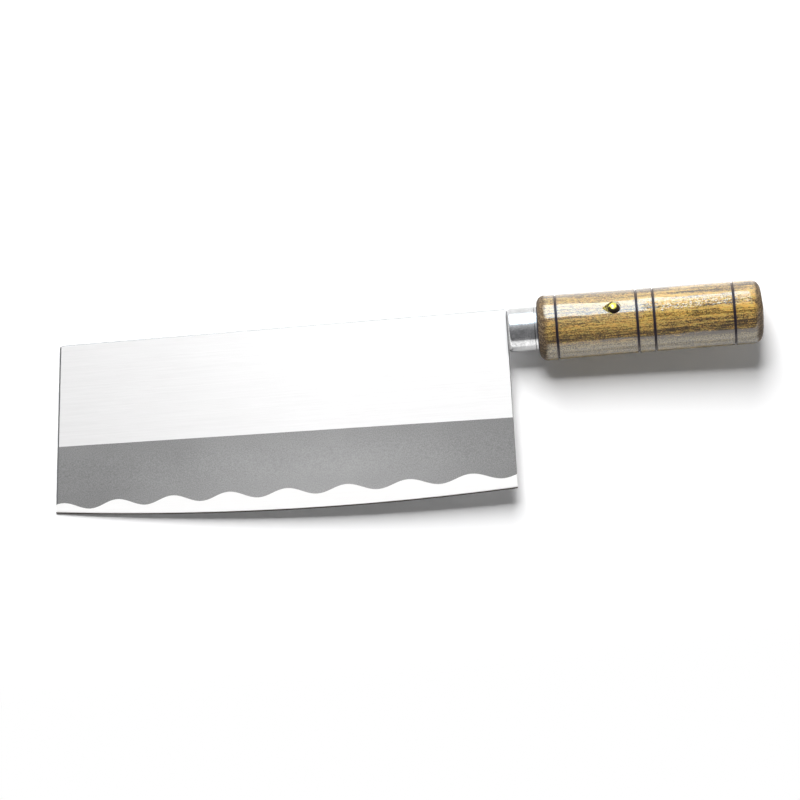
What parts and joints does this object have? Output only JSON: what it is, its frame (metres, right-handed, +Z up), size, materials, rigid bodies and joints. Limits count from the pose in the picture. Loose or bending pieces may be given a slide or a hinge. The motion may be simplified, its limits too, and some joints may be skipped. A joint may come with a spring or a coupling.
{
  "type": "vegetable cleaver",
  "caption": "Rectangular three-layer steel cleaver with a waved bright edge strip, metal ferrule and round grooved wooden handle held by a brass rivet, lying flat.",
  "frame": {"origin": "centre of the overall box, at the height of the surface that the cleaver lies on", "axes": "+X from the blade's tip towards the handle's butt, +Y from the cutting edge towards the spine, +Z up from the table. The cleaver lies on the blade's tip and on the handle's front shoulder, so the handle's axis and the blade rise 3.48 degrees towards +X."},
  "size_m": [0.3438, 0.093, 0.0365],
  "materials": {
    "core_steel": "finely honed hard steel, almost white, with a thin darker line along the edge",
    "clad_steel": "long satin brushing on the flat, blasted mid-grey with fine grain on the ground bevel",
    "ferrule_steel": "polished with faint turning lines",
    "handle_wood": "yellow-brown straight grain with dark streaks under glossy lacquer, burned black grooves",
    "rivet_brass": "polished dome",
    "bedding_resin": "dark brown resin, hidden"
  },
  "bodies": {
    "root": {"blade_core": "core_steel", "cladding_front": "clad_steel", "cladding_back": "clad_steel", "ferrule": "ferrule_steel", "handle": "handle_wood", "rivet": "rivet_brass", "tang_bedding": "bedding_resin"}
  },
  "joints": []
}
